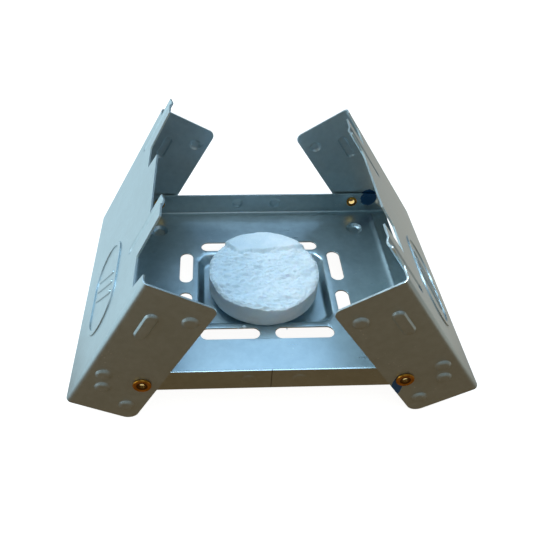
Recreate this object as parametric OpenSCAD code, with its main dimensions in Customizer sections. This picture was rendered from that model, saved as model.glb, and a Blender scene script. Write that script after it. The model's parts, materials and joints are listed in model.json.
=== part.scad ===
// Folding pocket stove for solid fuel tablets: a flanged tray with a sunk well and
// eight air slots, and two channel-shaped side panels that swing on four tubular
// rivets.  Closed, the panels interlock over the tray; open, they are legs and pot rest.
// Frame: +X left to right, +Y front to back, +Z up.  The origin is on the ground under
// the middle of the whole stove as it stands open.

/* [Folded size] */
// Length of the closed stove, over both panels
folded_l = 98.6; // [90:0.2:125]
// Width of the closed stove, over the wings of the panels
folded_w = 77; // [70:0.5:95]
// Height of a wing, from the outer face of the plate to the free edge
wing_h = 19; // [17:0.5:24]
// Thickness of the steel sheet
sheet = 0.5; // [0.4:0.05:0.7]
// Gap between the two closed panels
meet_gap = 1.0; // [0.6:0.1:2]

/* [Opened position] */
// How far the left panel stands open, from closed flat
left_open = 61.2; // [0:0.1:90]
// How far the right panel stands open, from closed flat
right_open = 56.5; // [0:0.1:90]

/* [Rivets] */
// Distance from the foot end of a panel to its rivets
rivet_to_foot = 15.5; // [13:0.5:19]
// Height of the rivets above the tray floor
rivet_h = 4.3; // [3.6:0.1:5.2]
// Outer diameter of the rivet barrel
rivet_d = 2.9; // [2.4:0.1:3.6]
// Diameter of the hole through a rivet
rivet_hole_d = 1.8; // [1.4:0.1:2]
// Diameter of the rolled head outside
rivet_head_d = 4.8; // [4:0.1:5.5]
// Diameter of the clenched end inside
rivet_clench_d = 3.7; // [3.6:0.1:4.5]
// Height of the rolled head above the wing
rivet_head_h = 0.7; // [0.5:0.1:1]
// Height of the clenched end above the flange
rivet_clench_h = 0.55; // [0.4:0.05:0.8]
// Radial clearance of a rivet in its panel and in its flange
rivet_fit = 0.06; // [0.03:0.01:0.1]
// Gap between the rivet head and the wing
head_gap = 0.05; // [0.03:0.01:0.1]

/* [Panels] */
// Outer radius of the bend between plate and wings
bend_r = 1.4; // [1:0.1:2]
// Radius of the wing corner that stands on the ground
foot_r = 3; // [2:0.5:4]
// Radius of the wing corner at the meeting edge
corner_r = 2; // [1:0.5:3]
// How far the locking tabs reach past the meeting edge
tab_out = 6.5; // [5:0.5:8]
// Width of a tab at its end
tab_w = 8.3; // [7:0.1:10]
// Distance of the inner tab from the middle of the panel
tab_y = 14.1; // [12:0.1:16]
// How much a tab widens towards its recess side
tab_flare = 1.5; // [1:0.1:2]
// Side gap between two interlocked tabs
tab_side_gap = 1.5; // [1:0.1:2.5]
// Side gap between a tab and the straight side of its recess
tab_fit = 0.5; // [0.4:0.1:1]
// Gap between the end of a tab and the bottom of its recess
tab_end_gap = 0.7; // [0.5:0.1:1.5]
// Depth of the stiffening trough pressed into each tab
trough_depth = 0.6; // [0.4:0.1:0.8]
// Radius of that trough
trough_r = 2.2; // [1.8:0.1:2.8]
// Length of that trough
trough_l = 18; // [14:0.5:22]

/* [Pressed details] */
// Diameter of the round dimples in the wings
dimple_d = 4.2; // [3.6:0.1:5]
// Height of the dimples and embosses in the wings
dimple_h = 0.6; // [0.5:0.05:0.8]
// Diameter of the detent bumps on the tray flanges
bump_d = 3.6; // [3:0.1:4]
// Diameter of the pair of bumps in the middle of each tray flange
mid_bump_d = 4.4; // [3.6:0.1:5]
// Distance of each of that pair from the middle of the tray
mid_bump_x = 6.6; // [5:0.1:9]
// Height of the bumps on the tray flanges
bump_h = 0.4; // [0.3:0.05:0.45]
// How steep the side of a dimple is: its full dome over the height where it is flattened
dome = 1.5; // [1:0.1:2]
// Opening angle at which the second pair of dimples catches
half_open = 57; // [45:1:65]
// Opening angle at which the third pair of dimples catches
full_open = 87; // [80:1:90]
// Distance of the upper dimple from the meeting edge
top_dimple_u = 6.8; // [5:0.1:9]
// Distance of the upper dimple from the free edge of the wing
top_dimple_v = 4; // [3.4:0.1:5]
// Length of the long emboss in each wing
oblong_l = 9.5; // [7:0.5:12]
// Width of that emboss
oblong_w = 3.4; // [2.8:0.1:4]
// Distance of that emboss from the face of the plate
oblong_v = 6.5; // [5:0.5:8]
// Distance of that emboss from the meeting edge
oblong_u = 7.8; // [6:0.2:11]
// Length of the raised oval on the plate
badge_l = 30; // [24:1:34]
// Width of the raised oval on the plate
badge_w = 19; // [12:1:22]
// Distance of the middle of the oval from the foot end
badge_u = 19; // [14:0.5:24]
// Distance of the middle of the oval in front of the middle of the plate
badge_y = 13.5; // [0:0.5:16]
// Height of the raised oval and its bars
badge_h = 0.35; // [0.3:0.05:0.6]
// Width of a raised line of the badge
badge_line = 1.3; // [1:0.1:2]
// Number of slanted bars inside the oval
badge_bars = 3; // [1:1:5]
// Slant of those bars
badge_slant = 62; // [45:1:90]

/* [Tray] */
// Height of the tray flanges above the floor
flange_h = 7.5; // [6.5:0.1:9]
// Gap between a flange and the wing beside it
wing_gap = 0.6; // [0.55:0.05:0.8]
// Inner radius of the bend between floor and flange
tray_bend_r = 0.6; // [0.4:0.1:2.5]
// Gap between the ends of the tray and the swinging plates
swing_gap = 0.9; // [0.5:0.1:2]
// Length of the well at the floor
well_x = 40.8; // [34:0.2:46]
// Width of the well at the floor
well_y = 30.4; // [26:0.2:34]
// Depth of the well
well_depth = 2.5; // [2:0.1:3.5]
// How far the well walls lean in
well_lean = 2.4; // [1:0.1:2.8]
// Corner radius of the well
well_r = 4; // [3:0.5:6]
// Width of the air slots
slot_w = 4.1; // [3.4:0.1:5]
// Length of the slots in front of and behind the well
slot_long = 17; // [13:0.5:18]
// Length of the slots beside the well
slot_short = 13.4; // [10:0.2:15]
// Metal left between two slots in a row
slot_bridge = 4.4; // [3:0.2:6]
// Metal left between the well and the slots
slot_margin = 1.45; // [1:0.05:2.5]
// Diameter of the four round dents in the floor
dent_d = 6; // [4:0.1:7]
// Depth of those dents
dent_depth = 0.9; // [0.5:0.1:1.2]
// Distance of the dents from the middle of the rivets
dent_shift = 0.3; // [0:0.1:2]
// Metal left between a dent and the bend of the tray
dent_margin = 6; // [1:0.5:8]
// Height of the raised rib across each end of the tray
rib_h = 1.0; // [0.8:0.1:2]
// Width of that rib
rib_w = 4.6; // [3.8:0.1:6]
// Distance of that rib from the end of the tray
rib_inset = 2.7; // [1.5:0.1:4]
// Distance of the ends of that rib from the bends of the tray
rib_margin = 2; // [0.5:0.1:3]

/* [Fuel tablet] */
// Diameter of the tablet
tablet_d = 33.6; // [30:0.2:36]
// Height of the tablet
tablet_h = 8; // [6:0.5:9]
// How far behind the middle the tablet lies
tablet_y = 0.4; // [0:0.1:1.5]
// Bevel of the pressed rim of the tablet
tablet_bevel = 0.5; // [0.2:0.1:1]

/* [Hidden] */
$fn = 64;
eps = 0.01;

rivet_x = folded_l / 2 - rivet_to_foot;          // rivets, from the middle
rivet_v = wing_h - rivet_h;                      // rivets, below the outer face of the plate
panel_l = folded_l / 2 - meet_gap / 2;           // panel length without its tabs
wing_out = folded_w / 2;
wing_in = wing_out - sheet;
flange_out = wing_in - wing_gap;
flange_in = flange_out - sheet;
swing_r = rivet_v - sheet;                       // from the rivet to the inside of the plate
low_reach = max(rivet_h + sheet, flange_h - rivet_h);
tray_reach = sqrt(swing_r * swing_r - low_reach * low_reach) - swing_gap;
tray_end = rivet_x + tray_reach;
detent_r = tray_reach - bump_d / 2 - 0.5;        // from the rivet to the detent bump
recess_depth = tab_out - meet_gap + tab_end_gap;
tab2_y = tab_y + tab_w + tab_side_gap + tab_flare;
slot_row_y = well_y / 2 + slot_margin + slot_w / 2;
slot_row_x = well_x / 2 + slot_margin + slot_w / 2;
detents = [0, half_open, full_open];
dent_x = rivet_x - dent_shift;
dent_y = flange_in - tray_bend_r - dent_d / 2 - dent_margin;
rib_half = flange_in - tray_bend_r - rib_margin;
steel = [0.60, 0.70, 0.76];
brass = [0.80, 0.58, 0.28];
fuel = [0.88, 0.94, 0.97];

// Lowest point of a panel that stands open by the angle a, seen from the tray floor
function foot_z(a) = rivet_h + (foot_r - rivet_to_foot) * sin(a)
                     - (wing_h - foot_r - rivet_v) * cos(a) - foot_r;
// Furthest point of that panel from the middle of the tray
function foot_x(a) = rivet_x + rivet_to_foot * cos(a) + rivet_v * sin(a);
floor_z = -min(foot_z(left_open), foot_z(right_open));
shift_x = (foot_x(left_open) - foot_x(right_open)) / 2;

// From the tray's own frame, with its floor at z = 0, to the frame of the stove
module in_stove() { translate([shift_x, 0, floor_z]) children(); }

function cap_r(d, h) = (d * d / 4 + h * h) / (2 * h);

// Slab from the middle of the sheet, or from below it for a hollow, to the flat of a dimple
module dimple_slab(l, h, grow) {
    low = grow < 0 ? -2 * sheet : -sheet / 2;
    translate([-l, -l, low]) cube([2 * l, 2 * l, h + grow - low]);
}

// Round dimple of width d that stands h proud of z = 0; grow = -sheet gives its hollow
module cap(d, h, grow = 0) {
    r = cap_r(d, dome * h);
    intersection() {
        translate([0, 0, dome * h - r]) sphere(r = r + grow);
        dimple_slab(d, h, grow);
    }
}

// Long dimple of width w and overall length l along X that stands h proud of z = 0
module long_cap(l, w, h, grow = 0) {
    r = cap_r(w, dome * h);
    span = l - w;
    intersection() {
        translate([0, 0, dome * h - r]) union() {
            rotate([0, 90, 0]) cylinder(r = r + grow, h = span, center = true);
            for (s = [-1, 1]) translate([s * span / 2, 0, 0]) sphere(r = r + grow);
        }
        dimple_slab(l, h, grow);
    }
}

// Stadium of overall length l and width w
module stadium(l, w) {
    square([l - w, w], center = true);
    for (s = [-1, 1]) translate([s * (l - w) / 2, 0]) circle(d = w);
}

// Puts a pressed detail on the outside of the wing or flange at side s, at (x, z)
module on_side(s, y, x, z) {
    translate([x, s * y, z]) rotate([s > 0 ? -90 : 90, 0, 0]) children();
}

/* ---- side panels: rivet axis at the origin, plate on top, closed position ---- */

// Channel section across the panel, in the YZ plane
module channel_section() {
    difference() {
        rounded_top(wing_out, rivet_v, bend_r);
        rounded_top(wing_in, rivet_v - sheet, bend_r - sheet);
    }
}

module rounded_top(half, top, r) {
    low = rivet_v - wing_h - 1;
    translate([-half, low]) square([2 * half, top - r - low]);
    translate([r - half, low]) square([2 * (half - r), top - low]);
    for (s = [-1, 1]) translate([s * (half - r), top - r]) circle(r = r);
}

// Outline of the panel from the side, in the XZ plane
module side_outline() {
    back = -rivet_to_foot;
    front = panel_l - rivet_to_foot;
    low = rivet_v - wing_h;
    translate([back, low + foot_r]) square([front - back, wing_h - foot_r]);
    translate([back + foot_r, low]) square([front - corner_r - back - foot_r, foot_r + eps]);
    translate([back + foot_r, low + foot_r]) circle(r = foot_r);
    difference() {
        translate([front - corner_r - eps, low]) square([corner_r + eps, foot_r + eps]);
        translate([front - corner_r, low - eps]) square([corner_r + eps, corner_r + eps]);
    }
    translate([front - corner_r, low + corner_r]) circle(r = corner_r);
    translate([back, rivet_v - sheet - trough_depth]) square([panel_l + tab_out, sheet + trough_depth]);
}

// Outline of the panel from above, with the two tabs and two recesses of the meeting edge
module plan_outline() {
    back = -rivet_to_foot;
    edge = panel_l - rivet_to_foot;
    tip = edge + tab_out;
    deep = edge - recess_depth;
    far = tab2_y + tab_w;
    polygon([
        [back, -wing_out], [edge, -wing_out],
        [edge, -far - tab_fit - tab_flare], [deep, -far - tab_fit], [deep, -tab_y - tab_w - tab_flare],
        [tip, -tab_y - tab_w], [tip, -tab_y], [edge, -tab_y],
        [edge, tab_y - tab_fit - tab_flare], [deep, tab_y - tab_fit], [deep, tab2_y - tab_flare],
        [tip, tab2_y], [tip, far], [edge, far],
        [edge, wing_out], [back, wing_out]
    ]);
}

// Stiffening troughs, each along the side of its tab that has no recess
module troughs(grow) {
    tip = panel_l - rivet_to_foot + tab_out;
    for (y = [-tab_y - trough_r, tab2_y + tab_w - trough_r])
        translate([tip - trough_l, y, rivet_v - trough_depth + trough_r]) {
            rotate([0, 90, 0]) cylinder(r = trough_r + grow, h = trough_l + 1);
            sphere(r = trough_r + grow);
        }
}

// Raised oval with slanted bars, lying on z = 0
module badge() {
    bar = badge_w - 4 * badge_line;
    rotate([0, 0, 90]) {
        translate([0, 0, -sheet / 2]) linear_extrude(badge_h + sheet / 2) difference() {
            stadium(badge_l, badge_w);
            stadium(badge_l - 2 * badge_line, badge_w - 2 * badge_line);
        }
        for (i = [0 : badge_bars - 1])
            translate([(i - (badge_bars - 1) / 2) * (badge_l - badge_w) / max(badge_bars, 1), 0, 0])
                rotate([0, 0, badge_slant]) long_cap(bar, badge_line, badge_h);
    }
}

module wing_details(s, grow) {
    edge = panel_l - rivet_to_foot;
    on = wing_out;
    for (a = detents)
        on_side(s, on, -detent_r * cos(a), detent_r * sin(a)) cap(dimple_d, dimple_h, grow);
    on_side(s, on, edge - top_dimple_u, rivet_v - wing_h + top_dimple_v) cap(dimple_d, dimple_h, grow);
    on_side(s, on, edge - oblong_u - oblong_l / 2, rivet_v - oblong_v) long_cap(oblong_l, oblong_w, dimple_h, grow);
}

// Closed panel; its oval lies on the side of the middle that s names
module closed_panel(s) {
    reach = panel_l + tab_out + 1;
    back = -rivet_to_foot - 0.5;
    difference() {
        union() {
            intersection() {
                union() {
                    translate([back, 0, 0]) rotate([90, 0, 90]) linear_extrude(reach) channel_section();
                    intersection() {
                        troughs(sheet);
                        translate([0, -wing_in, rivet_v - sheet - trough_depth - eps])
                            cube([reach, 2 * wing_in, sheet + trough_depth]);
                    }
                }
                rotate([90, 0, 0]) linear_extrude(2 * wing_out + 2, center = true) side_outline();
                translate([0, 0, rivet_v - wing_h - 1]) linear_extrude(wing_h + 2) plan_outline();
            }
            for (j = [-1, 1]) wing_details(j, 0);
            translate([badge_u - rivet_to_foot, s * badge_y, rivet_v]) badge();
        }
        for (j = [-1, 1]) wing_details(j, -sheet);
        troughs(0);
        rotate([90, 0, 0]) cylinder(d = rivet_d + 2 * rivet_fit, h = folded_w + 4, center = true);
    }
}

module open_panel(angle, s) {
    translate([-rivet_x, 0, rivet_h]) rotate([0, -angle, 0]) closed_panel(s);
}

module left_panel() {
    color(steel) in_stove() open_panel(left_open, -1);
}

module right_panel() {
    color(steel) in_stove() rotate([0, 0, 180]) open_panel(right_open, 1);
}

/* ---- tray ---- */

// Floor and flanges across the tray, in the YZ plane
module tray_section() {
    r = tray_bend_r;
    difference() {
        tray_blank(flange_out, -sheet, r + sheet);
        tray_blank(flange_in, 0, r);
    }
}

module tray_blank(half, low, r) {
    top = flange_h + (low < 0 ? 0 : 1);
    translate([-half, low + r]) square([2 * half, top - low - r]);
    translate([r - half, low]) square([2 * (half - r), top - low]);
    for (s = [-1, 1]) translate([s * (half - r), low + r]) circle(r = r);
}

// Raised rib across the left end of the tray, grown down by drop
module end_rib(half, drop) {
    out = rib_inset - tray_end;
    rotate([90, 0, 0]) linear_extrude(2 * half, center = true) polygon([
        [out, -drop], [out + rib_w * 0.55, rib_h - drop], [out + rib_w * 0.72, rib_h - drop],
        [out + rib_w, -drop], [out + rib_w, -sheet - drop], [out, -sheet - drop]
    ]);
}

// The well as a solid with drawn, S-shaped walls, grown sideways and dropped
module well(grow, drop) {
    lean = [0, 0.3, 0.7, 1] * well_lean;
    depth = [0, 0.16, 0.84, 1] * well_depth;
    for (i = [0 : 2]) hull() for (k = [i, i + 1])
        translate([0, 0, -depth[k] - drop]) linear_extrude(2 * eps)
            well_outline(well_x + 2 * (grow - lean[k]), well_y + 2 * (grow - lean[k]),
                         well_r + grow - lean[k] / 2);
}

module well_outline(x, y, r) {
    square([x - 2 * r, y], center = true);
    square([x, y - 2 * r], center = true);
    for (i = [-1, 1], j = [-1, 1])
        translate([i * (x / 2 - r), j * (y / 2 - r)]) circle(r = r, $fn = 32);
}

module slots() {
    long_x = slot_bridge / 2 + slot_long / 2;
    short_y = slot_bridge / 2 + slot_short / 2;
    translate([0, 0, -sheet - 1]) linear_extrude(sheet + 2) {
        for (i = [-1, 1], j = [-1, 1]) {
            translate([i * long_x, j * slot_row_y]) stadium(slot_long, slot_w);
            translate([i * slot_row_x, j * short_y]) rotate(90) stadium(slot_short, slot_w);
        }
    }
}

// Round dents pressed down into the floor
module dents(grow) {
    for (i = [-1, 1], j = [-1, 1])
        translate([i * dent_x, j * dent_y, -sheet]) mirror([0, 0, 1]) cap(dent_d, dent_depth, grow);
}

// Bumps on the outside of both flanges: the detents and the pair in the middle
module flange_bumps(grow) {
    for (s = [-1, 1], i = [-1, 1]) {
        on_side(s, flange_out, i * (rivet_x + detent_r), rivet_h) cap(bump_d, bump_h, grow);
        on_side(s, flange_out, i * mid_bump_x, top_dimple_v) cap(mid_bump_d, bump_h, grow);
    }
}

module tray() {
    color(steel) in_stove() difference() {
        union() {
            translate([-tray_end, 0, 0]) rotate([90, 0, 90]) linear_extrude(2 * tray_end) tray_section();
            well(0.6 * sheet, sheet);
            dents(0);
            flange_bumps(0);
            for (a = [0, 180]) rotate([0, 0, a]) end_rib(rib_half, 0);
        }
        well(0, 0);
        slots();
        dents(-sheet);
        flange_bumps(-sheet);
        for (a = [0, 180]) rotate([0, 0, a]) end_rib(rib_half - sheet, sheet);
        for (i = [-1, 1]) translate([i * rivet_x, 0, rivet_h]) rotate([90, 0, 0])
            cylinder(d = rivet_d + 2 * rivet_fit, h = folded_w + 4, center = true);
    }
}

/* ---- rivets ---- */

// Tubular rivet along +Z: z = 0 is the inside of the flange, the head lies outside the wing
module rivet() {
    grip = wing_out + head_gap - flange_in;
    bore = rivet_hole_d / 2;
    barrel = rivet_d / 2;
    head = rivet_head_d / 2;
    clench = rivet_clench_d / 2;
    rotate_extrude() polygon([
        [bore, -rivet_clench_h * 0.5], [bore + 0.25, -rivet_clench_h * 0.8],
        [clench - 0.4, -rivet_clench_h], [clench, -rivet_clench_h * 0.5], [clench, 0],
        [barrel, 0], [barrel, grip],
        [head, grip], [head, grip + rivet_head_h * 0.4], [head - 0.3, grip + rivet_head_h * 0.85],
        [head - 0.75, grip + rivet_head_h], [bore + 0.3, grip + rivet_head_h * 0.5], [bore, grip + rivet_head_h * 0.1]
    ]);
}

module placed_rivet(i, j) {
    color(brass) in_stove() translate([i * rivet_x, j * flange_in, rivet_h])
        rotate([j > 0 ? -90 : 90, 0, 0]) rivet();
}

module rivet_front_left() { placed_rivet(-1, -1); }
module rivet_front_right() { placed_rivet(1, -1); }
module rivet_rear_left() { placed_rivet(-1, 1); }
module rivet_rear_right() { placed_rivet(1, 1); }

/* ---- fuel ---- */

module fuel_tablet() {
    color(fuel) in_stove() translate([0, tablet_y, 0]) rotate_extrude($fn = 96) polygon([
        [0, 0], [tablet_d / 2 - tablet_bevel, 0], [tablet_d / 2, tablet_bevel],
        [tablet_d / 2, tablet_h - tablet_bevel], [tablet_d / 2 - tablet_bevel, tablet_h], [0, tablet_h]
    ]);
}

tray();
left_panel();
right_panel();
rivet_front_left();
rivet_front_right();
rivet_rear_left();
rivet_rear_right();
fuel_tablet();
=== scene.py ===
"""Looks of a folding pocket stove of zinc-coated sheet steel, with a solid fuel tablet on its tray."""

import json
import math

import bmesh
import bpy
from mathutils import Matrix, Vector, noise


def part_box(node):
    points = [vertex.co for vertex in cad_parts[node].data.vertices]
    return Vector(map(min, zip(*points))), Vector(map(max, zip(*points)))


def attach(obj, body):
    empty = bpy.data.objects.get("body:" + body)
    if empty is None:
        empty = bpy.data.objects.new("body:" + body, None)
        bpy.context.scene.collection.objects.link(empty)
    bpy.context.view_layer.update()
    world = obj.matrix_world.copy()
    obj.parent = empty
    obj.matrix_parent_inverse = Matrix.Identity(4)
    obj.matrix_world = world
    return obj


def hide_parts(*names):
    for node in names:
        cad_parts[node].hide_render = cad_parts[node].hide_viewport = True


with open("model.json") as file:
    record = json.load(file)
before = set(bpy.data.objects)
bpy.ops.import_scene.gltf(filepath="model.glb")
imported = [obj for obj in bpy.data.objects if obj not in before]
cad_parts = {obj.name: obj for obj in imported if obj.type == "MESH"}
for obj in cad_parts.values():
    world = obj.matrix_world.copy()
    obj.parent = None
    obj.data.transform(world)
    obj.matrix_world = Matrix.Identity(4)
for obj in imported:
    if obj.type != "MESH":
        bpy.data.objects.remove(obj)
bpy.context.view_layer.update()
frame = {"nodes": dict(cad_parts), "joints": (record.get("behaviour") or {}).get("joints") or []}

MM = 0.001
JOINTS = {joint["name"]: joint for joint in frame["joints"]}
TRAY_LOW, TRAY_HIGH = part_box("tray")
TABLET_LOW, TABLET_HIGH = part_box("fuel_tablet")
FLOOR_Z = TABLET_LOW.z
RIVETS = ("rivet_front_left", "rivet_front_right", "rivet_rear_left", "rivet_rear_right")

# Places on the sheet metal: across the stove, and along a panel from its rivets
SHEET = 0.5 * MM
WING_OUT = 38.5 * MM
FLANGE_IN = 36.9 * MM
FOOT_FROM_RIVET = -15.0 * MM
RECESS_FROM_RIVET = 27.0 * MM
SCRIBE_X = -0.9 * MM
EDGE_BREAK = 0.07 * MM

# Looks of the sheet metal; the tray is a little smoother and cleaner than the panels
PANEL_SHINE = 0.87
TRAY_SMOOTHER = 0.07
TRAY_SHINE = 0.97
ZINC_DEEP = (0.435, 0.540, 0.580, 1.0)
ZINC_PALE = (0.500, 0.610, 0.650, 1.0)
ZINC_STAIN = (0.40, 0.43, 0.43, 1.0)
ZINC_SCRATCH = (0.74, 0.79, 0.82, 1.0)
DUST_TONE = (0.80, 0.82, 0.80, 1.0)
# painted highlight: pale sky-blue tint of the sheared edges, for the light they catch
CUT_EDGE_HIGHLIGHT = (0.84, 0.95, 0.96, 1.0)
SCRIBE_TONE = (0.04, 0.04, 0.04, 1.0)
DAB_BLUE = (0.001, 0.055, 0.150, 1.0)
NO_LIGHT = (0.0, 0.0, 0.0, 1.0)

# How much stronger the room is for diffuse rays than for mirrored ones, and what the camera sees of it
DIFFUSE_BOOST = 1.1
BACKDROP = (1.0, 0.995, 0.99, 1.0)

# Rivets: height of the clenched end, in millimetres, and segments round the axis
CLENCH_MM = 0.55
RIVET_SEGMENTS = 64

# Crumbs of fuel on the tray: place in x and y, and size, in millimetres
CRUMBS = (
    (-6.9, -16.6, 0.55), (-8.6, -17.0, 0.28), (5.4, -17.4, 0.24), (16.9, 6.8, 0.3), (-12.6, 13.2, 0.34),
)


# ---- node building --------------------------------------------------------------------------

class Nodes:
    """Short names for the nodes of one tree."""

    def __init__(self, tree):
        self.tree = tree

    def add(self, kind, **settings):
        node = self.tree.nodes.new(kind)
        for name, value in settings.items():
            setattr(node, name, value)
        return node

    def feed(self, source, socket):
        if isinstance(source, bpy.types.NodeSocket):
            self.tree.links.new(source, socket)
        elif source is not None:
            socket.default_value = source

    def math(self, operation, a, b=None, c=None):
        node = self.add("ShaderNodeMath", operation=operation)
        for socket, value in zip(node.inputs, (a, b, c)):
            self.feed(value, socket)
        return node.outputs[0]

    def vector(self, operation, a, b=None):
        node = self.add("ShaderNodeVectorMath", operation=operation)
        self.feed(a, node.inputs[0])
        self.feed(b, node.inputs[1])
        return node.outputs["Value" if operation in ("DOT_PRODUCT", "LENGTH") else "Vector"]

    def ramp(self, value, low, high, out_low=0.0, out_high=1.0):
        node = self.add("ShaderNodeMapRange", interpolation_type="SMOOTHSTEP", clamp=True)
        self.feed(value, node.inputs["Value"])
        node.inputs["From Min"].default_value = low
        node.inputs["From Max"].default_value = high
        node.inputs["To Min"].default_value = out_low
        node.inputs["To Max"].default_value = out_high
        return node.outputs[0]

    def mix(self, factor, a, b):
        node = self.add("ShaderNodeMix", data_type="RGBA")
        self.feed(factor, node.inputs["Factor"])
        self.feed(a, node.inputs[6])
        self.feed(b, node.inputs[7])
        return node.outputs[2]

    def noise(self, where, scale, detail=4.0, roughness=0.55, distortion=0.0):
        node = self.add("ShaderNodeTexNoise")
        self.feed(where, node.inputs["Vector"])
        self.feed(scale, node.inputs["Scale"])
        node.inputs["Detail"].default_value = detail
        node.inputs["Roughness"].default_value = roughness
        node.inputs["Distortion"].default_value = distortion
        return node.outputs["Fac"]

    def cells(self, where, scale, feature="F1"):
        node = self.add("ShaderNodeTexVoronoi", feature=feature)
        self.feed(where, node.inputs["Vector"])
        self.feed(scale, node.inputs["Scale"])
        return node.outputs["Distance"]

    def group(self, tree, **inputs):
        node = self.add("ShaderNodeGroup", node_tree=tree)
        for name, value in inputs.items():
            self.feed(value, node.inputs[name.replace("_", " ")])
        return node

    def bump(self, height, strength, distance, normal=None):
        node = self.add("ShaderNodeBump")
        self.feed(height, node.inputs["Height"])
        node.inputs["Strength"].default_value = strength
        node.inputs["Distance"].default_value = distance
        self.feed(normal, node.inputs["Normal"])
        return node.outputs["Normal"]


def new_group(name, inputs, outputs):
    """A shader node group with named sockets. Each entry is (name, socket type, default)."""
    tree = bpy.data.node_groups.new(name, "ShaderNodeTree")
    for label, kind, default in inputs:
        socket = tree.interface.new_socket(label, in_out="INPUT", socket_type=kind)
        if default is not None:
            socket.default_value = default
    for label, kind in outputs:
        tree.interface.new_socket(label, in_out="OUTPUT", socket_type=kind)
    nodes = Nodes(tree)
    return tree, nodes, nodes.add("NodeGroupInput"), nodes.add("NodeGroupOutput")


def zinc_surface_group():
    """Fine mottle, rolling grain and handling marks of zinc-coated sheet."""
    tree, n, given, out = new_group(
        "zinc surface",
        [("Position", "NodeSocketVector", None), ("Grain", "NodeSocketFloat", 1.0)],
        [("Mottle", "NodeSocketFloat"), ("Grain", "NodeSocketFloat"), ("Marks", "NodeSocketFloat"),
         ("Stain", "NodeSocketFloat")],
    )
    where = given.outputs["Position"]
    mottle = n.noise(where, 520.0, 3.0, 0.6)
    fine = n.noise(where, 2600.0, 2.0, 0.7)
    blotch = n.noise(where, 70.0, 3.0, 0.55, 0.4)
    mixed = n.math("ADD", n.math("MULTIPLY", mottle, 0.6), n.math("MULTIPLY", blotch, 0.4))
    n.feed(mixed, out.inputs["Mottle"])
    n.feed(n.math("MULTIPLY", fine, given.outputs["Grain"]), out.inputs["Grain"])
    stretched = n.vector("MULTIPLY", where, (60.0, 900.0, 60.0))
    scratch = n.noise(stretched, 1.0, 2.0, 0.5, 1.2)
    thin = n.ramp(scratch, 0.66, 0.72)
    patch = n.ramp(n.noise(where, 45.0, 2.0), 0.5, 0.7)
    n.feed(n.math("MULTIPLY", thin, patch), out.inputs["Marks"])
    n.feed(n.ramp(n.noise(where, 28.0, 4.0, 0.6, 0.6), 0.45, 0.75), out.inputs["Stain"])
    return tree


def dust_group():
    """Sparse pale specks of dust and tiny dings."""
    tree, n, given, out = new_group(
        "dust specks",
        [("Position", "NodeSocketVector", None), ("Scale", "NodeSocketFloat", 700.0),
         ("Amount", "NodeSocketFloat", 0.5)],
        [("Specks", "NodeSocketFloat")],
    )
    where = given.outputs["Position"]
    dots = n.ramp(n.cells(where, given.outputs["Scale"]), 0.16, 0.06)
    where_any = n.ramp(n.noise(where, 110.0, 2.0), 0.52, 0.66)
    specks = n.math("MULTIPLY", dots, where_any)
    n.feed(n.math("MULTIPLY", specks, given.outputs["Amount"]), out.inputs["Specks"])
    return tree


def paint_dab_group():
    """Mask of an oval dab of paint round a point, with a ragged edge."""
    tree, n, given, out = new_group(
        "paint dab",
        [("Position", "NodeSocketVector", None), ("Centre", "NodeSocketVector", None),
         ("Size", "NodeSocketVector", (0.002, 0.001, 0.002))],
        [("Paint", "NodeSocketFloat")],
    )
    away = n.vector("SUBTRACT", given.outputs["Position"], given.outputs["Centre"])
    scaled = n.vector("DIVIDE", away, given.outputs["Size"])
    reach = n.vector("LENGTH", scaled)
    ragged = n.math("MULTIPLY", n.noise(given.outputs["Position"], 900.0, 2.0), 0.25)
    n.feed(n.ramp(n.math("ADD", reach, ragged), 1.18, 1.08), out.inputs["Paint"])
    return tree


ZINC = zinc_surface_group()
DUST = dust_group()
DAB = paint_dab_group()


# ---- materials ------------------------------------------------------------------------------

def new_material(name):
    material = bpy.data.materials.new(name)
    material.use_nodes = True
    nodes = Nodes(material.node_tree)
    shader = material.node_tree.nodes["Principled BSDF"]
    place = nodes.add("ShaderNodeTexCoord")
    return material, nodes, shader, place


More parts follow.
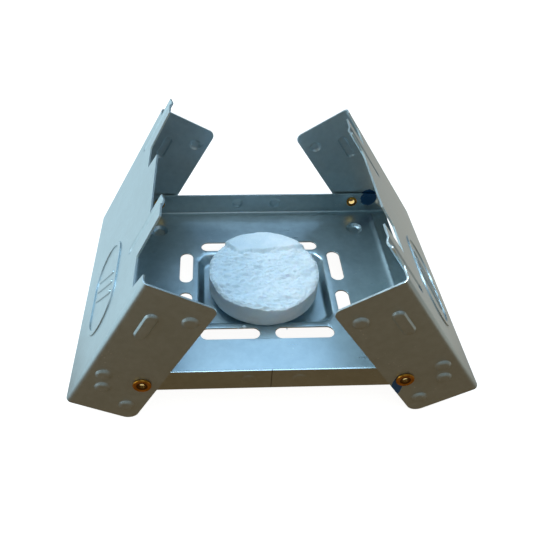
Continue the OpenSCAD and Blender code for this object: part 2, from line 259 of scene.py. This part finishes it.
def zinc_sheet(name, cut_mask, paint_marks=(), smoother=0.0, shine=PANEL_SHINE, scribe=None):
    """Satin zinc-coated steel. cut_mask and scribe build the masks of its sheared edges and scribed line.
    The sheared edges get a pale painted highlight as well as a lower roughness.

    paint_marks holds the centre and size of each dab of paint, which shows on faces towards the front only.
    """
    material, n, shader, place = new_material(name)
    where = place.outputs["Object"]
    surface = n.group(ZINC, Position=where, Grain=1.0)
    specks = n.group(DUST, Position=where, Scale=650.0, Amount=0.55).outputs["Specks"]
    mottle = surface.outputs["Mottle"]
    tone = n.mix(n.ramp(mottle, 0.30, 0.70), ZINC_DEEP, ZINC_PALE)
    tone = n.mix(n.math("MULTIPLY", surface.outputs["Stain"], 0.10), tone, ZINC_STAIN)
    tone = n.mix(n.math("MULTIPLY", surface.outputs["Marks"], 0.20), tone, ZINC_SCRATCH)
    tone = n.mix(specks, tone, DUST_TONE)
    cut_edge_highlight = cut_mask(n, place)
    # painted highlight on the sheared edges: their tone turns pale sky-blue white; the same mask also
    # lowers their roughness below
    tone = n.mix(cut_edge_highlight, tone, CUT_EDGE_HIGHLIGHT)
    if scribe:
        tone = n.mix(n.math("MULTIPLY", scribe(n, place), 0.75), tone, SCRIBE_TONE)
    rough = n.ramp(mottle, 0.3, 0.7, 0.37 - smoother, 0.43 - smoother)
    rough = n.math("SUBTRACT", rough, n.math("MULTIPLY", surface.outputs["Marks"], 0.10))
    rough = n.math("SUBTRACT", rough, n.math("MULTIPLY", cut_edge_highlight, 0.08))
    metal = n.math("SUBTRACT", shine, n.math("MULTIPLY", specks, 0.5))
    turn = n.add("ShaderNodeSeparateXYZ")
    n.feed(place.outputs["Normal"], turn.inputs[0])
    towards_front = n.ramp(turn.outputs["Y"], 0.5, 0.0)
    for centre, size in paint_marks:
        dab = n.group(DAB, Position=where, Centre=centre, Size=size).outputs["Paint"]
        dab = n.math("MULTIPLY", dab, towards_front)
        tone = n.mix(dab, tone, DAB_BLUE)
        bare = n.math("SUBTRACT", 1.0, dab)
        rough = n.math("ADD", n.math("MULTIPLY", rough, bare), n.math("MULTIPLY", dab, 0.3))
        metal = n.math("MULTIPLY", metal, bare)
    n.feed(tone, shader.inputs["Base Color"])
    n.feed(metal, shader.inputs["Metallic"])
    n.feed(rough, shader.inputs["Roughness"])
    height = n.math("ADD", surface.outputs["Grain"], n.math("MULTIPLY", mottle, 0.8))
    n.feed(n.bump(height, 0.14, 0.00006), shader.inputs["Normal"])
    return material


def panel_cut_mask(side):
    """Mask of the sheared edges of a side panel, which get a painted highlight: plate ends, tab sides and
    wing rims.
    """
    joint = JOINTS["left_hinge" if side < 0 else "right_hinge"]
    angle = math.radians(-joint["range_deg"][0])
    up_plate = Vector((-side * math.cos(angle), 0.0, math.sin(angle)))
    outward = Vector((side * math.sin(angle), 0.0, math.cos(angle)))
    rivet_along = Vector(joint["pos_m"]).dot(up_plate)

    def build(n, place):
        split = n.add("ShaderNodeSeparateXYZ")
        n.feed(place.outputs["Object"], split.inputs[0])
        facing = place.outputs["Normal"]
        turn = n.add("ShaderNodeSeparateXYZ")
        n.feed(facing, turn.inputs[0])
        across = n.math("ABSOLUTE", turn.outputs["Y"])
        off_middle = n.math("ABSOLUTE", split.outputs["Y"])
        up_along = n.vector("DOT_PRODUCT", place.outputs["Object"], tuple(up_plate))
        along = n.math("SUBTRACT", up_along, rivet_along)
        at_end = n.math("MAXIMUM", n.ramp(along, RECESS_FROM_RIVET - 1.0 * MM, RECESS_FROM_RIVET),
                        n.ramp(along, FOOT_FROM_RIVET + 1.0 * MM, FOOT_FROM_RIVET))
        plate_end = n.ramp(n.math("ABSOLUTE", n.vector("DOT_PRODUCT", facing, tuple(up_plate))), 0.80, 0.92)
        plate_end = n.math("MULTIPLY", plate_end, at_end)
        inside = n.ramp(off_middle, WING_OUT - 2.2 * MM, WING_OUT - 2.6 * MM)
        tab_side = n.math("MULTIPLY", n.math("MULTIPLY", n.ramp(across, 0.80, 0.92), inside), at_end)
        on_wing = n.ramp(off_middle, WING_OUT - 1.3 * SHEET, WING_OUT - 1.05 * SHEET)
        rim = n.math("MULTIPLY", n.ramp(across, 0.45, 0.3), on_wing)
        not_plate = n.ramp(n.vector("DOT_PRODUCT", facing, tuple(outward)), 0.35, 0.2)
        rim = n.math("MULTIPLY", rim, not_plate)
        return n.math("MAXIMUM", n.math("MAXIMUM", plate_end, tab_side), rim)

    return build


def tray_cut_mask(n, place):
    """Mask of the sheared edges of the tray, which get a painted highlight: flange tops and tray ends."""
    split = n.add("ShaderNodeSeparateXYZ")
    n.feed(place.outputs["Object"], split.inputs[0])
    turn = n.add("ShaderNodeSeparateXYZ")
    n.feed(place.outputs["Normal"], turn.inputs[0])
    flange_top = n.math("MULTIPLY", n.ramp(turn.outputs["Z"], 0.75, 0.9),
                        n.ramp(split.outputs["Z"], TRAY_HIGH.z - 0.5 * MM, TRAY_HIGH.z - 0.2 * MM))
    ends = n.ramp(n.math("ABSOLUTE", turn.outputs["X"]), 0.85, 0.95)
    at_end = n.ramp(n.math("ABSOLUTE", split.outputs["X"]), TRAY_HIGH.x - 1.2 * MM, TRAY_HIGH.x - 0.8 * MM)
    return n.math("MAXIMUM", flange_top, n.math("MULTIPLY", ends, at_end))


def tray_scribe_mask(n, place):
    """Mask of the thin line scribed down the middle of the front flange."""
    split = n.add("ShaderNodeSeparateXYZ")
    n.feed(place.outputs["Object"], split.inputs[0])
    aside = n.math("ABSOLUTE", n.math("SUBTRACT", split.outputs["X"], SCRIBE_X))
    line = n.ramp(aside, 0.16 * MM, 0.07 * MM)
    return n.math("MULTIPLY", line, n.ramp(split.outputs["Y"], -FLANGE_IN, -FLANGE_IN - 0.3 * MM))


def brass():
    """Drawn brass of the tubular rivets, dark in the funnel. A pale tone and a faint glow deep in the bore
    are painted light, for light that falls through the tube."""
    material, n, shader, place = new_material("rivet brass")
    where = place.outputs["Object"]
    tarnish = n.ramp(n.noise(where, 900.0, 3.0, 0.6), 0.38, 0.62)
    tone = n.mix(tarnish, (0.74, 0.36, 0.06, 1.0), (0.48, 0.20, 0.02, 1.0))
    reach = n.add("ShaderNodeAttribute", attribute_name="reach").outputs["Fac"]
    funnel = n.math("MULTIPLY", n.ramp(reach, 1.55, 1.35), n.ramp(reach, 0.90, 1.00))
    tone = n.mix(funnel, tone, (0.12, 0.06, 0.02, 1.0))
    bore = n.ramp(reach, 0.98, 0.93)
    along = n.add("ShaderNodeAttribute", attribute_name="along").outputs["Fac"]
    tone = n.mix(bore, tone, (0.20, 0.11, 0.03, 1.0))
    # painted light deep in the bore: a pale tone and a faint glow for light falling through the tube
    lit = n.math("MULTIPLY", bore, n.ramp(along, 0.95, 1.30))
    tone = n.mix(lit, tone, (0.98, 0.84, 0.48, 1.0))
    n.feed(tone, shader.inputs["Base Color"])
    n.feed(n.math("SUBTRACT", 1.0, n.math("MULTIPLY", lit, 0.92)), shader.inputs["Metallic"])
    n.feed(n.mix(lit, NO_LIGHT, (0.42, 0.34, 0.17, 1.0)), shader.inputs["Emission Color"])
    shader.inputs["Emission Strength"].default_value = 1.0
    n.feed(n.ramp(tarnish, 0.0, 1.0, 0.22, 0.40), shader.inputs["Roughness"])
    n.feed(n.bump(n.noise(where, 3000.0, 2.0), 0.15, 0.00005), shader.inputs["Normal"])
    return material


def fuel():
    """Pressed crystalline fuel: icy white, chalky, a little translucent, with painted shade that deepens
    its tone to the left.
    """
    material, n, shader, place = new_material("solid fuel")
    where = place.outputs["Object"]
    grain = n.noise(where, 1300.0, 5.0, 0.70)
    lumps = n.noise(where, 260.0, 4.0, 0.6)
    tone = n.mix(n.ramp(lumps, 0.3, 0.7), (0.74, 0.82, 0.86, 1.0), (0.86, 0.91, 0.93, 1.0))
    tone = n.mix(n.ramp(grain, 0.56, 0.72), tone, (0.96, 0.97, 0.98, 1.0))
    split = n.add("ShaderNodeSeparateXYZ")
    n.feed(where, split.inputs[0])
    # painted shade: the tone deepens towards the left of the tablet, where less light falls
    painted_shade_left = n.ramp(split.outputs["X"], TABLET_LOW.x + 6.0 * MM, TABLET_HIGH.x - 8.0 * MM, 0.70, 0.0)
    tone = n.mix(painted_shade_left, tone, (0.48, 0.62, 0.70, 1.0))
    n.feed(tone, shader.inputs["Base Color"])
    n.feed(n.ramp(grain, 0.3, 0.7, 0.55, 0.78), shader.inputs["Roughness"])
    shader.inputs["Subsurface Weight"].default_value = 0.35
    shader.inputs["Subsurface Radius"].default_value = (0.0012, 0.0016, 0.0020)
    shader.inputs["Subsurface Scale"].default_value = 1.6
    height = n.math("ADD", n.math("MULTIPLY", grain, 0.5), n.noise(where, 5200.0, 2.0, 0.7))
    n.feed(n.bump(height, 0.60, 0.00025), shader.inputs["Normal"])
    return material


# ---- sheet metal: the CAD's own nodes, with broken edges ------------------------------------

def soften_edges(piece, width):
    """Welds the imported facets and rounds every sheared edge by a hair."""
    weld = piece.modifiers.new("weld", "WELD")
    weld.merge_threshold = 0.002 * MM
    bevel = piece.modifiers.new("broken edges", "BEVEL")
    bevel.width = width
    bevel.segments = 2
    bevel.limit_method = "ANGLE"
    bevel.angle_limit = math.radians(40)
    bevel.harden_normals = False
    smooth = piece.modifiers.new("even normals", "WEIGHTED_NORMAL")
    smooth.mode = "FACE_AREA"
    smooth.weight = 80
    smooth.keep_sharp = False


def finish_sheet_metal():
    middle_x = (TRAY_LOW.x + TRAY_HIGH.x) / 2
    rear_place = (middle_x + 39.6 * MM, FLANGE_IN + SHEET, FLOOR_Z + 5.7 * MM)
    rear_dab = (rear_place, (2.9 * MM, 1.8 * MM, 3.2 * MM))
    front_dab = ((middle_x + 32.3 * MM, -WING_OUT, FLOOR_Z + 1.2 * MM), (1.5 * MM, 1.2 * MM, 4.2 * MM))
    looks = {
        "tray": zinc_sheet("zinc sheet, tray", tray_cut_mask, [rear_dab],
                           TRAY_SMOOTHER, TRAY_SHINE, tray_scribe_mask),
        "left_panel": zinc_sheet("zinc sheet, left panel", panel_cut_mask(-1)),
        "right_panel": zinc_sheet("zinc sheet, right panel", panel_cut_mask(1), [rear_dab, front_dab]),
    }
    for name, material in looks.items():
        piece = frame["nodes"][name]
        piece.data.materials.clear()
        piece.data.materials.append(material)
        soften_edges(piece, EDGE_BREAK)


# ---- rivets -----------------------------------------------------------------------------------

def arc(centre, radius, start, end, count):
    """Points on a circular arc, in (radius, depth), angles in degrees."""
    points = []
    for i in range(count + 1):
        turn = math.radians(start + (end - start) * i / count)
        points.append((centre[0] + radius * math.cos(turn), centre[1] + radius * math.sin(turn)))
    return points


def rivet_profile(head, grip_end, total):
    """Closed outline of the rivet wall: rolled head at depth 0, clench at depth total, in millimetres."""
    bore = 0.9
    barrel = 1.42
    lip = 0.36
    outline = [(bore, total - 0.45), (bore, 0.95)]
    outline += arc((head - 1.35, 0.62), 0.45, 180, 262, 4)
    outline += arc((head - lip, lip), lip, 235, 360, 8)
    outline += [(head - 0.06, 0.66), (barrel, 0.70), (barrel, grip_end)]
    outline += [(1.80, grip_end + 0.02)]
    outline += arc((1.58, grip_end + 0.28), 0.25, -20, 110, 7)
    outline += [(1.20, total - 0.12)]
    return outline


def lathe(name, outline, segments, axis_to_world, material):
    """Turns a closed outline round the local Z axis. Depth runs along -Z.

    The vertex layers "reach" and "along" hold radius and depth in millimetres, for the brass.
    """
    mesh = bpy.data.meshes.new(name)
    build = bmesh.new()
    reach = build.verts.layers.float.new("reach")
    along = build.verts.layers.float.new("along")
    rings = []
    for i in range(segments):
        turn = 2 * math.pi * i / segments
        ring = []
        for radius, depth in outline:
            point = Vector((radius * math.cos(turn), radius * math.sin(turn), -depth)) * MM
            vertex = build.verts.new(axis_to_world @ point)
            vertex[reach] = radius
            vertex[along] = depth
            ring.append(vertex)
        rings.append(ring)
    count = len(outline)
    for i in range(segments):
        here, there = rings[i], rings[(i + 1) % segments]
        for k in range(count):
            build.faces.new((here[k], here[(k + 1) % count], there[(k + 1) % count], there[k]))
    bmesh.ops.recalc_face_normals(build, faces=build.faces)
    for face in build.faces:
        face.smooth = True
    build.to_mesh(mesh)
    build.free()
    mesh.materials.append(material)
    piece = bpy.data.objects.new(name, mesh)
    bpy.context.scene.collection.objects.link(piece)
    return piece


def make_rivets():
    material = brass()
    for name in RIVETS:
        low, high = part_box(name)
        outside = high.y if high.y > 0 else low.y
        side = 1 if outside > 0 else -1
        total = (high.y - low.y) / MM
        head = (high.x - low.x) / 2 / MM
        turn = Matrix.Rotation(math.radians(-90 if side > 0 else 90), 4, "X")
        place = Matrix.Translation(((low.x + high.x) / 2, outside, (low.z + high.z) / 2)) @ turn
        outline = rivet_profile(head, total - CLENCH_MM, total)
        piece = lathe(name + "_turned", outline, RIVET_SEGMENTS, place, material)
        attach(piece, "root")
        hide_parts(name)


# ---- fuel tablet ------------------------------------------------------------------------------

def fractal(x, y, z, octaves):
    """Sum of octaves of smooth noise, about -1 to 1, at a point in millimetres."""
    total = 0.0
    weight = 1.0
    for k in range(octaves):
        scale = 2.0 ** k
        total += weight * noise.noise(Vector((x * scale, y * scale, z * scale + 7.3 * k)))
        weight *= 0.55
    return total


def smooth_step(low, high, value):
    share = min(1.0, max(0.0, (value - low) / (high - low)))
    return share * share * (3 - 2 * share)


def intact_share(x, y, radius):
    """1 on the smooth remnant of the pressed face at the back of the tablet, 0 where it has broken away."""
    edge = radius * 0.49 + 0.11 * x + 1.1 * max(0.0, -0.42 * radius - x)
    edge += 0.55 * fractal(x * 0.4, y * 0.4, 3.0, 4)
    return smooth_step(edge - 0.75, edge + 0.55, y)


def tablet_top(x, y, radius, height):
    """Height of the top face over the point (x, y), in millimetres."""
    smooth_face = height - 0.10 + 0.05 * fractal(x * 0.4, y * 0.4, 1.0, 2)
    crumble = 0.85 * fractal(x * 0.13, y * 0.26, 5.0, 4) + 0.42 * fractal(x * 0.5, y * 1.1, 9.0, 5)
    ridges = 0.65 * abs(fractal(x * 0.30 + 4.0, y * 0.9, 2.0, 4))
    left_lump = 0.8 * smooth_step(3.4, 1.2, math.hypot(x + 7.4, (y - 11.2) * 1.1))
    broken = height - 1.25 + crumble + ridges + left_lump
    share = intact_share(x, y, radius)
    top = share * smooth_face + (1 - share) * broken
    return min(top, height)


def fuel_tablet():
    """Tablet with a crumbled top, a worn rim and a smooth pressed side."""
    middle = (TABLET_LOW + TABLET_HIGH) / 2
    radius = (TABLET_HIGH.x - TABLET_LOW.x) / 2 / MM
    height = (TABLET_HIGH.z - TABLET_LOW.z) / MM
    around = 288
    rings_top = 84
    rings_side = 22
    build = bmesh.new()

    def rim_radius(turn, level):
        x, y = radius * math.cos(turn), radius * math.sin(turn)
        wear = 0.18 * fractal(x * 0.25, y * 0.25, level * 0.4, 3) + 0.05 * fractal(x, y, level, 2)
        notch = smooth_step(0.25, 0.75, fractal(x * 0.22 + 9.0, y * 0.22, 1.0, 2))
        bite = 0.45 * notch * (level / height) ** 3
        return radius - 0.22 + 0.5 * wear - bite

    def rim_drop(turn):
        x, y = radius * math.cos(turn), radius * math.sin(turn)
        return 0.32 + 0.25 * abs(fractal(x * 0.6, y * 0.6, 4.0, 3))

    rows = []
    for i in range(1, rings_top + 1):
        share = math.sin(math.pi / 2 * i / rings_top)
        row = []
        for k in range(around):
            turn = 2 * math.pi * k / around
            edge = rim_radius(turn, height)
            reach = share * edge
            x, y = reach * math.cos(turn), reach * math.sin(turn)
            z = tablet_top(x, y, radius, height)
            z -= rim_drop(turn) * smooth_step(0.945, 1.0, share) ** 1.5
            row.append(build.verts.new((x, y, z)))
        rows.append(row)
    for i in range(1, rings_side + 1):
        share = i / rings_side
        row = []
        for k in range(around):
            turn = 2 * math.pi * k / around
            top = rows[rings_top - 1][k].co.z
            level = top * (1 - share)
            foot = 0.35 * smooth_step(0.6, 0.0, level)
            edge = rim_radius(turn, level) - foot + 0.06 * math.sin(min(1.0, share * 6) * math.pi / 2)
            row.append(build.verts.new((edge * math.cos(turn), edge * math.sin(turn), level)))
        rows.append(row)
    peak = build.verts.new((0, 0, tablet_top(0, 0, radius, height)))
    base = build.verts.new((0, 0, 0))
    for k in range(around):
        following = (k + 1) % around
        build.faces.new((peak, rows[0][k], rows[0][following]))
        build.faces.new((base, rows[-1][following], rows[-1][k]))
        for upper, lower in zip(rows, rows[1:]):
            build.faces.new((upper[k], lower[k], lower[following], upper[following]))
    for vertex in build.verts:
        vertex.co = Vector((middle.x, middle.y, TABLET_LOW.z)) + vertex.co * MM
    for face in build.faces:
        face.smooth = True
    bmesh.ops.recalc_face_normals(build, faces=build.faces)
    mesh = bpy.data.meshes.new("crumbled_tablet")
    build.to_mesh(mesh)
    build.free()
    return mesh


def crumb(name, place, size, seed):
    """Small chip of fuel lying on the tray floor."""
    build = bmesh.new()
    bmesh.ops.create_icosphere(build, subdivisions=3, radius=1.0)
    for vertex in build.verts:
        point = vertex.co.copy()
        push = 1.0 + 0.45 * fractal(point.x + seed, point.y, point.z, 3)
        vertex.co = Vector((point.x * push, point.y * push * 0.8, point.z * push * 0.55)) * size * MM
    lowest = min(vertex.co.z for vertex in build.verts)
    for vertex in build.verts:
        vertex.co += Vector((place[0] * MM, place[1] * MM, FLOOR_Z - lowest))
    for face in build.faces:
        face.smooth = True
    mesh = bpy.data.meshes.new(name)
    build.to_mesh(mesh)
    build.free()
    return mesh


def make_fuel():
    material = fuel()
    tablet = bpy.data.objects.new("crumbled_tablet", fuel_tablet())
    bpy.context.scene.collection.objects.link(tablet)
    tablet.data.materials.append(material)
    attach(tablet, "fuel_tablet")
    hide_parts("fuel_tablet")
    for number, (x, y, size) in enumerate(CRUMBS):
        name = f"fuel_crumb_{number + 1}"
        chip = bpy.data.objects.new(name, crumb(name, (x, y), size, 3.7 * number))
        bpy.context.scene.collection.objects.link(chip)
        chip.data.materials.append(material)
        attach(chip, "root")


# ---- stage --------------------------------------------------------------------------------------

def stage_floor():
    """Plain pale floor for the camera.

    Every other ray sees light of its own colour instead, which is what the metal mirrors: brown in
    front, pale blue at the left and tan at the right.
    """
    mesh = bpy.data.meshes.new("floor")
    build = bmesh.new()
    bmesh.ops.create_grid(build, x_segments=1, y_segments=1, size=3.0)
    build.to_mesh(mesh)
    build.free()
    floor = bpy.data.objects.new("floor", mesh)
    bpy.context.scene.collection.objects.link(floor)
    material, n, shader, _ = new_material("pale floor")
    seen = n.add("ShaderNodeLightPath").outputs["Is Camera Ray"]
    place = n.add("ShaderNodeSeparateXYZ")
    n.feed(n.add("ShaderNodeTexCoord").outputs["Object"], place.inputs[0])
    aside = n.math("SUBTRACT", n.math("ABSOLUTE", place.outputs["X"]), 0.05)
    behind = n.ramp(n.math("MULTIPLY_ADD", aside, 1.2, place.outputs["Y"]), -0.03, 0.035)
    right = n.ramp(place.outputs["X"], -0.04, 0.06)
    far_right = n.ramp(place.outputs["X"], 0.16, 0.30)
    right_tone = n.mix(far_right, (0.66, 0.58, 0.47, 1.0), (0.06, 0.07, 0.07, 1.0))
    beside = n.mix(right, (0.72, 0.88, 0.94, 1.0), right_tone)
    mirrored = n.mix(behind, (0.158, 0.092, 0.036, 1.0), beside)
    n.feed(n.mix(seen, NO_LIGHT, (0.28, 0.27, 0.26, 1.0)), shader.inputs["Base Color"])
    n.feed(n.mix(seen, mirrored, (0.93, 0.925, 0.92, 1.0)), shader.inputs["Emission Color"])
    shader.inputs["Emission Strength"].default_value = 1.0
    shader.inputs["Roughness"].default_value = 0.75
    shader.inputs["Specular IOR Level"].default_value = 0.15
    mesh.materials.append(material)


def soft_light(name, place, aim, size, power, colour):
    """Rectangular softbox at place, turned to aim."""
    lamp = bpy.data.lights.new(name, "AREA")
    lamp.shape = "RECTANGLE"
    lamp.size, lamp.size_y = size
    lamp.energy = power
    lamp.color = colour
    holder = bpy.data.objects.new(name, lamp)
    holder.location = place
    holder.rotation_euler = (Vector(aim) - Vector(place)).to_track_quat("-Z", "Y").to_euler()
    bpy.context.scene.collection.objects.link(holder)


def room():
    """Soft surroundings: pale blue daylight above and behind, a dim warm room in front.

    They are stronger for diffuse rays, so that the fuel is lit without lifting what the metal mirrors.
    The camera itself sees a plain pale backdrop.
    """
    world = bpy.data.worlds.new("studio")
    world.use_nodes = True
    n = Nodes(world.node_tree)
    background = world.node_tree.nodes["Background"]
    direction = n.add("ShaderNodeTexCoord").outputs["Generated"]
    back = n.ramp(n.vector("DOT_PRODUCT", direction, (0.0, 1.0, 0.0)), -0.3, 0.4)
    up = n.vector("DOT_PRODUCT", direction, (0.0, 0.0, 1.0))
    front = n.mix(n.ramp(up, 0.30, 0.60), (0.26, 0.25, 0.21, 1.0), (0.13, 0.14, 0.14, 1.0))
    low = n.mix(back, front, (0.03, 0.048, 0.060, 1.0))
    raised = n.ramp(n.vector("DOT_PRODUCT", direction, (0.30, 0.0, 1.0)), 0.73, 0.83)
    behind = n.ramp(n.vector("DOT_PRODUCT", direction, (0.0, 1.0, 0.0)), 0.15, 0.45)
    overhead = n.math("MULTIPLY", raised, n.math("MULTIPLY_ADD", behind, 0.85, 0.15))
    sky = n.mix(overhead, low, (0.96, 1.46, 2.00, 1.0))
    ahead = n.ramp(n.vector("DOT_PRODUCT", direction, (0.10, -0.45, 0.89)), 0.88, 1.0)
    mirrored = n.mix(n.math("MULTIPLY", ahead, 0.4), sky, (1.15, 1.20, 1.18, 1.0))
    path = n.add("ShaderNodeLightPath")
    n.feed(n.mix(path.outputs["Is Camera Ray"], mirrored, BACKDROP), background.inputs["Color"])
    boosted = n.math("MULTIPLY_ADD", path.outputs["Is Diffuse Ray"], DIFFUSE_BOOST, 1.0)
    n.feed(boosted, background.inputs["Strength"])
    bpy.context.scene.world = world


def studio():
    aim = (0.0, 0.0, 0.02)
    soft_light("sky panel", (-0.40, 0.30, 0.98), aim, (0.55, 0.55), 8.0, (0.68, 0.87, 1.0))
    soft_light("left window", (-0.85, 0.05, 0.28), aim, (1.4, 0.5), 3.5, (0.78, 0.93, 1.0))
    room()
    bpy.context.scene.view_settings.view_transform = "Standard"


def camera():
    """Looks down on the stove from the front, a little to the left of its middle."""
    lens = bpy.data.cameras.new("camera")
    lens.lens = 40.34
    lens.sensor_width = 36.0
    lens.shift_x = 0.0561
    lens.shift_y = -0.0494
    lens.clip_start = 0.01
    holder = bpy.data.objects.new("camera", lens)
    holder.location = (-0.0154, -0.12975, 0.14228)
    holder.rotation_euler = (math.radians(48.98), math.radians(-0.88), math.radians(-2.17))
    bpy.context.scene.collection.objects.link(holder)
    bpy.context.scene.camera = holder


camera()
studio()
stage_floor()
finish_sheet_metal()
make_rivets()
make_fuel()
